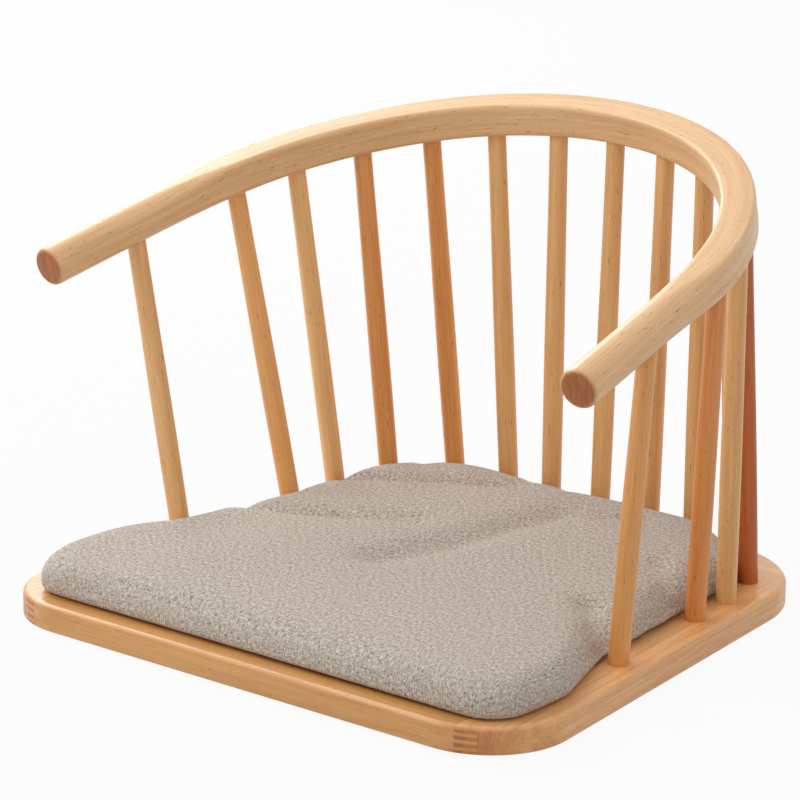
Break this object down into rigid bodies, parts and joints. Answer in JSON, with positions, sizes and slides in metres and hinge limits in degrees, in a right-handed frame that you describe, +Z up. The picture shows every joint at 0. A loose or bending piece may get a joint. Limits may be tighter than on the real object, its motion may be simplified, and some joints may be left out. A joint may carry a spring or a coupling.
{
  "type": "legless chair",
  "caption": "Legless floor chair: a flat comb-jointed wooden base, a bent arm hoop carried on turned spindles, and a soft seat cushion with front lobes.",
  "frame": {"origin": "on the floor, under the middle of the whole chair's width and depth", "axes": "+X is the viewer's right, the open front faces -Y, +Z is up"},
  "size_m": [0.5984, 0.525, 0.4075],
  "materials": {
    "front_beech": "clear satin lacquer on pale beech",
    "side_beech": "clear satin lacquer on pinkish beech",
    "hoop_beech": "clear satin lacquer on light beech",
    "spindle_beech": "clear satin lacquer on beech",
    "red_spindle_beech": "clear satin lacquer on red-brown beech",
    "plywood": "sanded plywood, bare",
    "zinc_steel": "zinc plated",
    "felt": "pressed wool felt",
    "linen": "heathered grey-beige linen weave",
    "foam": "open-cell seat foam"
  },
  "bodies": {
    "root": {"front_rail": "front_beech", "back_rail": "front_beech", "left_side_rail": "side_beech", "right_side_rail": "side_beech", "seat_board": "plywood", "seat_screws": "zinc_steel", "floor_pads": "felt", "arm_hoop": "hoop_beech", "centre_spindle": "spindle_beech", "left_spindle_1": "spindle_beech", "left_spindle_2": "spindle_beech", "left_spindle_3": "red_spindle_beech", "left_spindle_4": "red_spindle_beech", "left_spindle_5": "spindle_beech", "left_spindle_6": "red_spindle_beech", "left_spindle_7": "spindle_beech", "right_spindle_1": "spindle_beech", "right_spindle_2": "spindle_beech", "right_spindle_3": "spindle_beech", "right_spindle_4": "red_spindle_beech", "right_spindle_5": "spindle_beech", "right_spindle_6": "red_spindle_beech", "right_spindle_7": "spindle_beech", "cushion_cover": "linen", "cushion_foam": "foam"}
  },
  "joints": []
}
